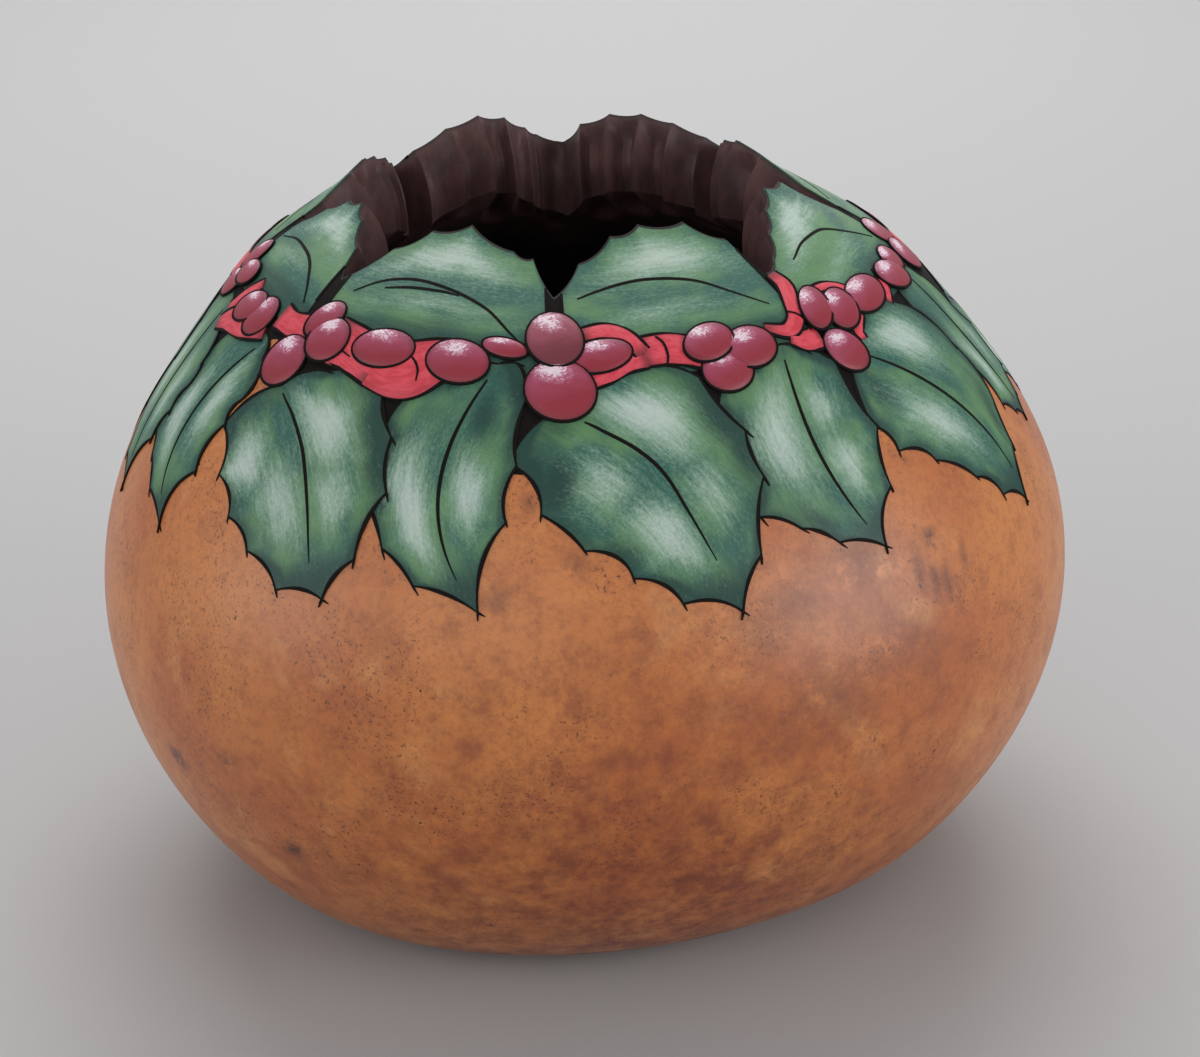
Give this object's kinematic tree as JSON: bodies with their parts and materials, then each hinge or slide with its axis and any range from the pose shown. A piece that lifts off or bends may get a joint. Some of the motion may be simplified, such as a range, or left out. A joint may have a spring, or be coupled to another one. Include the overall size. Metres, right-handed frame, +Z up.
{
  "type": "decorative gourd bowl",
  "caption": "Dried gourd cut open as a bowl with a carved, fluted rim shaped like holly leaves, painted round the shoulder with leaves, berries and a ribbon.",
  "frame": {"origin": "middle of the outline seen from above, at the level of the table", "axes": "+Z up; the decorated front faces -Y; +X is to the viewer's right when looking at the front"},
  "size_m": [0.2076, 0.1974, 0.1566],
  "materials": {
    "skin": "polished dried gourd skin, satin, with the raw cut wall stained dark brown",
    "leaf_paint": "thin satin paint, brushed in greens with pale highlights",
    "berry_paint": "thin satin paint, crimson with pink and white highlights",
    "ribbon_paint": "thin satin paint, bright red"
  },
  "bodies": {
    "root": {"gourd_shell": "skin", "berries_far_left": "berry_paint", "berries_left_pair": "berry_paint", "berries_left_upper": "berry_paint", "berry_left_lower": "berry_paint", "berry_left_middle": "berry_paint", "berry_front_left": "berry_paint", "bud_front": "berry_paint", "berries_front": "berry_paint", "berries_front_right": "berry_paint", "berries_right_upper": "berry_paint", "berry_right_lower": "berry_paint", "berries_far_right": "berry_paint", "berries_right_end": "berry_paint", "berries_back_1": "berry_paint", "berries_back_2": "berry_paint", "berries_back_3": "berry_paint", "berries_back_4": "berry_paint", "berries_back_5": "berry_paint", "berries_back_6": "berry_paint", "berries_back_7": "berry_paint", "ribbon_left": "ribbon_paint", "ribbon_left_knot": "ribbon_paint", "ribbon_left_fold": "ribbon_paint", "ribbon_front": "ribbon_paint", "ribbon_curl": "ribbon_paint", "ribbon_back_1": "ribbon_paint", "ribbon_back_2": "ribbon_paint", "ribbon_back_3": "ribbon_paint", "ribbon_back_4": "ribbon_paint", "ribbon_back_5": "ribbon_paint", "ribbon_back_6": "ribbon_paint", "ribbon_back_7": "ribbon_paint", "ribbon_back_8": "ribbon_paint", "upper_leaf_1": "leaf_paint", "upper_leaf_2": "leaf_paint", "upper_leaf_3": "leaf_paint", "upper_leaf_4": "leaf_paint", "upper_leaf_5": "leaf_paint", "upper_leaf_6": "leaf_paint", "upper_leaf_7": "leaf_paint", "upper_leaf_8": "leaf_paint", "lower_leaf_1": "leaf_paint", "lower_leaf_2": "leaf_paint", "lower_leaf_3": "leaf_paint", "lower_leaf_4": "leaf_paint", "lower_leaf_5": "leaf_paint", "lower_leaf_6": "leaf_paint", "lower_leaf_7": "leaf_paint", "lower_leaf_8": "leaf_paint", "lower_leaf_9": "leaf_paint", "lower_leaf_10": "leaf_paint", "lower_leaf_11": "leaf_paint", "lower_leaf_12": "leaf_paint", "lower_leaf_13": "leaf_paint", "lower_leaf_14": "leaf_paint", "lower_leaf_15": "leaf_paint", "lower_leaf_16": "leaf_paint", "lower_leaf_17": "leaf_paint"}
  },
  "joints": []
}
